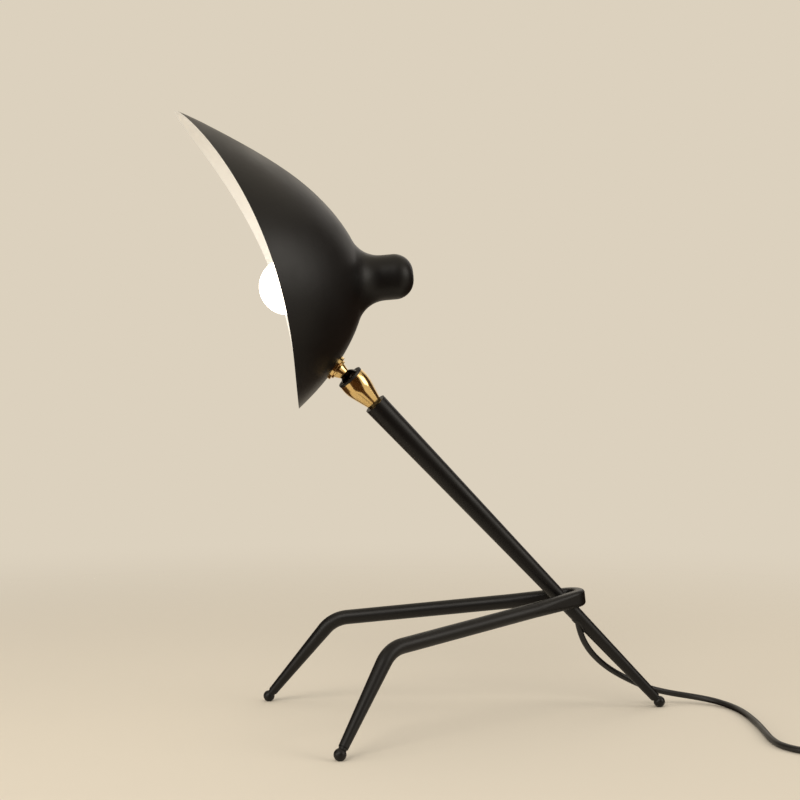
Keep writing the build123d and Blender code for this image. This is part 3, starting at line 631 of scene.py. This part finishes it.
def coil_place(flex, turn):
    """Control point of the coil after so many turns: in below, up while it reverses, out above."""
    climb = min(max((turn - flex.turns_in) / COIL_CLIMB, 0), 1)
    # While it climbs, the turn goes on closing and then opens again without a kink
    dip = flex.coil_pitch * COIL_CLIMB * (climb - climb**2)
    after = max(turn - flex.turns_in - COIL_CLIMB, 0)
    radius = flex.coil_radius - flex.coil_pitch * (min(turn, flex.turns_in) - after) - dip
    # The spline cuts inside its control points, so they lie a little further out
    reach = radius / cos(pi / flex.per_turn)
    angle = COIL_FIRST + 2 * pi * turn
    height = flex.coil_floor + flex.coil_layer * climb**2 * (3 - 2 * climb)
    return COIL_CENTRE + Vector((reach * cos(angle), reach * sin(angle), height))


def in_head(along, side, up):
    """Place given in millimetres from the bottom of the bowl."""
    return BOWL + (HEAD_AXIS * along + HEAD_SIDE * side + HEAD_UP * up) * MM


class LAMP_OT_stage(bpy.types.Operator):
    """Camera at the photograph's angle, pale floor and background, soft lights and dark flags"""

    bl_idname = "desk_lamp.stage"
    bl_label = "Stage"

    def execute(self, context):
        stage = context.scene.lamp_stage
        context.scene.view_settings.view_transform = "Standard"
        self.camera(context.scene, stage)
        self.world(context.scene, stage)
        self.floor(stage)
        for name, place, size, power in LIGHTS:
            self.light(name, place, size, getattr(stage, power))
        self.flags()
        return {"FINISHED"}

    def camera(self, scene, stage):
        """Camera that was fitted to the photograph."""
        data = bpy.data.cameras.new("photo_camera")
        data.lens = stage.lens
        data.sensor_width = CAMERA_SENSOR
        data.clip_start, data.clip_end = CAMERA_CLIP
        scene.camera = link_object("photo_camera", data)
        scene.camera.location = CAMERA_PLACE
        scene.camera.rotation_euler = [radians(turn) for turn in CAMERA_TURN]

    def world(self, scene, stage):
        """Soft light from all round, and a plain background to the eye and in polished metal."""
        world = bpy.data.worlds.new("studio")
        world.use_nodes = True
        tree = world.node_tree
        tree.nodes.clear()
        path = add_node(tree, "ShaderNodeLightPath").outputs
        soft = add_node(
            tree,
            "ShaderNodeBackground",
            {"Color": linear("#FFFDFA"), "Strength": stage.world_light},
        )
        seen = add_node(
            tree, "ShaderNodeBackground", {"Color": list(stage.background), "Strength": 1.0}
        )
        mirrored = add_node(
            tree,
            "ShaderNodeMath",
            {"operation": "MAXIMUM"},
            {0: path["Is Glossy Ray"], 1: path["Is Transmission Ray"]},
        )
        direct = add_node(
            tree,
            "ShaderNodeMath",
            {"operation": "MAXIMUM"},
            {0: path["Is Camera Ray"], 1: mirrored.outputs[0]},
        )
        mixed = add_node(
            tree,
            "ShaderNodeMixShader",
            links={0: direct.outputs[0], 1: soft.outputs[0], 2: seen.outputs[0]},
        )
        add_node(tree, "ShaderNodeOutputWorld", links={"Surface": mixed.outputs[0]})
        scene.world = world

    def floor(self, stage):
        """Matt floor that takes the lamp's shadow and fades into the background."""
        material, tree, shader, place = start_material(
            "matt_pale_floor",
            list(stage.floor),
            {"Roughness": 0.8, "IOR": 1.45, "Specular IOR Level": 0.0},
        )
        away = add_node(tree, "ShaderNodeVectorMath", {"operation": "LENGTH"}, {0: place})
        near, far = FLOOR_FADE
        fade = add_node(
            tree,
            "ShaderNodeMapRange",
            {"interpolation_type": "SMOOTHSTEP", "From Min": near, "From Max": far},
            {"Value": away.outputs["Value"]},
        )
        clear = add_node(tree, "ShaderNodeBsdfTransparent")
        mixed = add_node(
            tree,
            "ShaderNodeMixShader",
            links={0: fade.outputs["Result"], 1: shader.outputs["BSDF"], 2: clear.outputs["BSDF"]},
        )
        tree.links.new(mixed.outputs[0], tree.nodes["Material Output"].inputs["Surface"])
        bm = bmesh.new()
        bmesh.ops.create_grid(bm, x_segments=FLOOR_CELLS, y_segments=FLOOR_CELLS, size=FLOOR_HALF)
        link_mesh("studio_floor", bm, [material])

    def flags(self):
        """Dark cloths round the stage, seen only as bands in polished metal."""
        cloth = start_material(
            "dark_flag_cloth", linear("#45301F"), {"Roughness": 0.9, "Specular IOR Level": 0.0}
        )[0]
        bm = bmesh.new()
        for turn in FLAG_TURNS:
            first = Matrix.Rotation(radians(turn - FLAG_SPREAD / 2), 3, "Z")
            reach = first @ Vector((FLAG_REACH, 0, 0))
            outline = [reach * FLAG_START, reach, reach + Vector((0, 0, FLAG_HEIGHT))]
            corners = [bm.verts.new(corner + Vector((0, 0, FLAG_LIFT))) for corner in outline]
            edges = [bm.edges.new(pair) for pair in zip(corners, corners[1:])]
            bmesh.ops.spin(
                bm,
                geom=corners + edges,
                cent=(0, 0, 0),
                axis=(0, 0, 1),
                angle=radians(FLAG_SPREAD),
                steps=FLAG_STEPS,
            )
        piece = link_mesh("studio_flags", bm, [cloth])
        piece.visible_camera = piece.visible_diffuse = False
        piece.visible_shadow = piece.visible_transmission = False

    def light(self, name, place, size, power):
        """Soft square light that points at the lamp's middle."""
        data = bpy.data.lights.new(name, "AREA")
        data.size = size
        data.energy = power
        data.color = linear("#FFFAF2")[:3]
        source = link_object(name, data)
        source.location = place
        source.rotation_euler = (LIGHT_AIM - Vector(place)).to_track_quat("-Z", "Y").to_euler()


class LAMP_OT_hand_switch(bpy.types.Operator):
    """Hand switch on the flex, with a bezel round its rocker and ribbed reliefs"""

    bl_idname = "desk_lamp.hand_switch"
    bl_label = "Hand switch"

    def execute(self, context):
        finishes = context.scene.lamp_finishes
        plastic = moulded(
            "moulded_abs",
            list(finishes.moulding),
            grit=0.9 * MM,
            roughness=(0.4, 0.52),
            depth=0.05 * MM,
        )
        dress(["switch_base", "switch_cover"], plastic)
        rocker = moulded(
            "polished_abs",
            shade_of(list(finishes.moulding), 1.6),
            grit=1.6 * MM,
            roughness=(0.22, 0.3),
            depth=0.02 * MM,
        )
        dress(["switch_rocker"], rocker)
        zinc = plain_metal(
            "zinc_plated_screws", list(finishes.zinc), grain=4 * MM, roughness=(0.3, 0.4)
        )
        dress(["switch_screws"], zinc)
        vinyl = vinyl_relief("moulded_vinyl_relief", list(finishes.sheath))
        for name, side in (("switch_relief_in", -1), ("switch_relief_out", 1)):
            root = (SWITCH + Vector((side * SWITCH_HALF, 0, 0))) * MM
            ribs = strain_relief(name, root, Vector((side, 0, 0)), vinyl, **SWITCH_RELIEF)
            finish_piece(ribs, "base", "black_pvc", "switch_reliefs")
        width, height = (side + 2 * BEZEL for side in SWITCH_WINDOW)
        ring = rounded_ring(width, height, BEZEL_CORNER, BEZEL, BEZEL_RISE, BEZEL_EDGE)
        top = Matrix.Translation(Vector((SWITCH.x, SWITCH.y, SWITCH_TOP)) * MM)
        finish_piece(place_piece("switch_bezel", ring, top, rocker), "base", "rocker_plastic")
        return {"FINISHED"}


class LAMP_OT_plug(bpy.types.Operator):
    """Moulded plug with grip grooves, its ribbed relief and its pins"""

    bl_idname = "desk_lamp.plug"
    bl_label = "Plug"

    def execute(self, context):
        finishes = context.scene.lamp_finishes
        plastic = moulded(
            "moulded_plug_vinyl",
            list(finishes.moulding),
            grit=0.9 * MM,
            roughness=(0.42, 0.54),
            depth=0.05 * MM,
        )
        nickel = plain_metal(
            "nickel_plated_pins", linear("#CBC6BA"), grain=6 * MM, roughness=(0.16, 0.24)
        )
        dress(["plug_pins"], nickel)
        finish_piece(self.body(plastic), "base", "black_plastic", "plug_body")
        vinyl = vinyl_relief("moulded_plug_relief", list(finishes.sheath))
        root = PLUG * MM + COIL_OUT * PLUG_NECK[0] * MM
        ribs = strain_relief("plug_ribs", root, -COIL_OUT, vinyl, **PLUG_RELIEF)
        finish_piece(ribs, "base", "black_pvc", "plug_relief")
        return {"FINISHED"}

    def body(self, material):
        """Plug's moulding, extruded from its front back to its neck."""
        front, width, height = PLUG_FRONT
        sections = []
        for groove in PLUG_GROOVES:
            for along, cut in PLUG_GROOVE:
                sections.append((groove - along, width - 2 * cut, height - 2 * cut))
        sections += [(PLUG_GRIP, width, height), PLUG_NECK]
        bm, face = rounded_panel(width, height, PLUG_CORNER, segments=8)
        rim = face.edges[:]
        faces = [face]
        here, wide, tall = PLUG_FRONT
        for along, new_wide, new_tall in sections:
            verts, faces = pull(bm, faces, (0, 0, along - here))
            bmesh.ops.scale(bm, vec=(new_wide / wide, new_tall / tall, 1), verts=verts)
            here, wide, tall = along, new_wide, new_tall
        bmesh.ops.recalc_face_normals(bm, faces=bm.faces)
        round_off(bm, rim, PLUG_EDGE, segments=4)
        across = COIL_OUT.cross(Vector((0, 0, 1)))
        lie = Matrix((across, COIL_OUT.cross(across), COIL_OUT)).transposed().to_4x4()
        lie.translation = PLUG * MM + COIL_OUT * front * MM
        return place_piece("grooved_plug", bm, lie, material)


class LAMP_OT_coil_strap(bpy.types.Operator):
    """Hook-and-loop strap round the put-away coil, with its end lapped over the top"""

    bl_idname = "desk_lamp.coil_strap"
    bl_label = "Coil strap"

    def execute(self, context):
        weave = woven_tie(context.scene.lamp_finishes)
        low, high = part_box("coil_tie")
        middle, size = (low + high) / 2, (high - low) / MM
        ring = rounded_ring(size.x, size.z, STRAP_CORNER, STRAP, size.y, STRAP_EDGE)
        side = Matrix.Translation(middle + Vector((0, size.y / 2 * MM, 0)))
        strap = place_piece("coil_strap", ring, side @ Matrix.Rotation(pi / 2, 4, "X"), weave)
        finish_piece(strap, "base", "tie_strip", "coil_tie")
        bm, end = rounded_panel(*LAP, LAP_CORNER)
        thicken(bm, [end], STRAP, STRAP_EDGE)
        on_top = Vector((middle.x + LAP_SHIFT * MM, middle.y, high.z - LAP_SINK * MM))
        lap = place_piece("strap_lap", bm, Matrix.Translation(on_top), weave)
        finish_piece(lap, "base", "tie_strip")
        return {"FINISHED"}


class LAMP_OT_mains_flex(bpy.types.Operator):
    """Free flex from the stem, through the hand switch and its put-away coil into the plug"""

    bl_idname = "desk_lamp.mains_flex"
    bl_label = "Mains flex"

    def execute(self, context):
        flex = context.scene.lamp_flex
        points = [Vector(point) * MM for point in LEAD_ROUTE]
        count = round((flex.turns_in + COIL_CLIMB + flex.turns_out) * flex.per_turn)
        points += [coil_place(flex, (step + 0.5) / flex.per_turn) for step in range(count)]
        points += [COIL_END + COIL_OUT * reach * MM for reach in COIL_LAST]
        vinyl = vinyl_sheath("vinyl_flex", list(context.scene.lamp_finishes.sheath))
        piece = flex_curve("mains_flex", points, flex.diameter, vinyl)
        finish_piece(piece, "base", "black_pvc", "cord_lead", "cord_link", "cord_coil")
        on_flex = [nodes[name] for name in FLEX_NODES]
        on_flex += [bpy.data.objects[name] for name in FLEX_PIECES]
        return {"FINISHED"}


class LAMP_OT_inner_flex(bpy.types.Operator):
    """Flex inside the stem and the ball, and its two cores round into the lampholder"""

    bl_idname = "desk_lamp.inner_flex"
    bl_label = "Inner flex"

    def execute(self, context):
        finishes = context.scene.lamp_finishes
        width = context.scene.lamp_flex.diameter
        vinyl = vinyl_sheath("vinyl_inner_flex", list(finishes.sheath))
        low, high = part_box("stem_cord")
        route = [Vector((low.x + STEM_INSET * MM, 0, high.z - STEM_INSET * MM))]
        route += [Vector(point) * MM for point in STEM_ROUTE]
        in_stem = flex_curve("stem_flex", route, width, vinyl)
        finish_piece(in_stem, "base", "black_pvc", "stem_cord")
        route = [BALL_MIDDLE + STUD_AXIS * reach * MM for reach in STUD_ROUTE]
        in_stud = flex_curve("head_flex", route, width, vinyl)
        finish_piece(in_stud, "head", "black_pvc", "head_cord")
        for name, side in (("core_live", -CORE_SIDE), ("core_neutral", CORE_SIDE)):
            insulation = moulded(
                name + "_vinyl",
                list(getattr(finishes, name)),
                grit=1.2 * MM,
                roughness=(0.4, 0.5),
                depth=0.03 * MM,
            )
            route = [in_head(along, side, up) for along, up in CORE_ROUTE]
            core = flex_curve(name, route, CORE_DIAMETER * MM, insulation)
            finish_piece(core, "head", "core_insulation", "lamp_wires")
        return {"FINISHED"}


class LAMP_OT_stand(bpy.types.Operator):
    """Stem, hairpin legs, ball feet and the rubber bush for the flex"""

    bl_idname = "desk_lamp.stand"
    bl_label = "Stand"

    def execute(self, context):
        finishes = context.scene.lamp_finishes
        painted = ["stem_tube", "leg_hairpin", "foot_rear", "foot_front_near", "foot_front_far"]
        dress(painted, satin_powder_coat(finishes))
        rubber = moulded(
            "moulded_rubber",
            list(finishes.sheath),
            grit=1.2 * MM,
            roughness=(0.6, 0.75),
            depth=0.05 * MM,
        )
        dress(["cord_grommet"], rubber)
        return {"FINISHED"}


class LAMP_OT_swivel(bpy.types.Operator):
    """Brass ball swivel between stem and shade, what it hides, and the zinc-plated small parts"""

    bl_idname = "desk_lamp.swivel"
    bl_label = "Ball swivel"

    def execute(self, context):
        finishes = context.scene.lamp_finishes
        cup = turned_brass("turned_brass_cup", finishes, STEM_AXIS)
        stud = turned_brass("turned_brass_stud", finishes, STUD_AXIS, BALL_SHADE_REACH)
        dress(["swivel_cup"], cup)
        dress(["ball_stud", "saddle_washer"], stud)
        dress(["stem_insert"], satin_powder_coat(finishes))
        # The collar is a real part; its black stands in for the shade in the cup's mouth and over
        # its rim, painted shade
        dress(["cup_collar"], nylon("moulded_nylon", list(finishes.moulding)))
        zinc = plain_metal(
            "zinc_plated_steel", list(finishes.zinc), grain=8 * MM, roughness=(0.3, 0.42)
        )
        dress(["stud_nut", "inner_washer", "seat_spring", "holder_plate", "holder_nut"], zinc)
        dress(["ball_seat"], nylon("natural_nylon", linear("#DCD6C6")))
        return {"FINISHED"}


class LAMP_OT_shade(bpy.types.Operator):
    """Spun shade: black outside, white enamel inside and over its cut rim"""

    bl_idname = "desk_lamp.shade"
    bl_label = "Shade"

    def execute(self, context):
        finishes = context.scene.lamp_finishes
        bm = bmesh.new()
        bm.from_mesh(nodes["shade"].data)
        bmesh.ops.remove_doubles(bm, verts=bm.verts, dist=WELD)
        for face in bm.faces:
            out = face.calc_center_median() - BOWL
            spoke = out - HEAD_AXIS * out.dot(HEAD_AXIS)
            # Compared with the way out of the bowl's parabola at that face
            outward = (spoke - HEAD_AXIS * 2 * BOWL_FOCAL).normalized().dot(face.normal)
            face.material_index = 1 if outward < SHADE_INSIDE else 0
        smooth_by_angle(bm, SHADE_CREASE)
        coats = [satin_powder_coat(finishes), white_enamel(finishes)]
        finish_piece(link_mesh("spun_shade", bm, coats), "head", "satin_black_paint", "shade")
        return {"FINISHED"}


class LAMP_OT_bulb(bpy.types.Operator):
    """Lit globe bulb, its lampholder and the brass contacts"""

    bl_idname = "desk_lamp.bulb"
    bl_label = "Bulb and lampholder"

    def execute(self, context):
        finishes = context.scene.lamp_finishes
        dress(["bulb_globe"], frosted_glass(finishes))
        nickel = plain_metal(
            "nickel_plated_cap", linear("#C4C2BA"), grain=5 * MM, roughness=(0.24, 0.36)
        )
        dress(["bulb_cap", "bulb_contact"], nickel)
        glass = moulded(
            "black_glass", linear("#141416"), grit=2 * MM, roughness=(0.12, 0.2), depth=0.02 * MM
        )
        dress(["bulb_insulator"], glass)
        phenolic = moulded(
            "moulded_phenolic",
            list(finishes.phenolic),
            grit=1.4 * MM,
            roughness=(0.28, 0.38),
            depth=0.03 * MM,
        )
        dress(["lampholder_cap", "lampholder_body"], phenolic)
        contact = plain_metal(
            "pressed_brass", list(finishes.brass_dark), grain=5 * MM, roughness=(0.3, 0.4)
        )
        dress(["lampholder_sleeve", "lampholder_contact", "switch_terminals"], contact)
        return {"FINISHED"}


class LAMP_PT_panel(bpy.types.Panel):
    """Lists the steps that dress the lamp"""

    bl_label = "Desk Lamp"
    bl_idname = "LAMP_PT_panel"
    bl_space_type = "VIEW_3D"
    bl_region_type = "UI"
    bl_category = "Desk Lamp"

    def draw(self, context):
        for step in STEPS:
            self.layout.operator(step.bl_idname)


SETTINGS = {"lamp_finishes": LampFinishes, "lamp_flex": LampFlex, "lamp_stage": LampStage}
# The mains flex comes after the pieces on it, because it looks them up by name
STEPS = (
    LAMP_OT_stage,
    LAMP_OT_hand_switch,
    LAMP_OT_plug,
    LAMP_OT_coil_strap,
    LAMP_OT_mains_flex,
    LAMP_OT_inner_flex,
    LAMP_OT_stand,
    LAMP_OT_swivel,
    LAMP_OT_shade,
    LAMP_OT_bulb,
)


def register():
    """Register the settings, the steps and the panel."""
    for group in SETTINGS.values():
        bpy.utils.register_class(group)
    for name, group in SETTINGS.items():
        setattr(bpy.types.Scene, name, PointerProperty(type=group))
    for step in (*STEPS, LAMP_PT_panel):
        bpy.utils.register_class(step)


def unregister():
    """Take away what register put in."""
    for step in (LAMP_PT_panel, *reversed(STEPS)):
        bpy.utils.unregister_class(step)
    for name, group in SETTINGS.items():
        delattr(bpy.types.Scene, name)
        bpy.utils.unregister_class(group)


def main():
    """Dress the lamp step by step."""
    register()
    for step in STEPS:
        getattr(bpy.ops.desk_lamp, step.bl_idname.split(".")[1])()


if __name__ == "__main__":
    main()
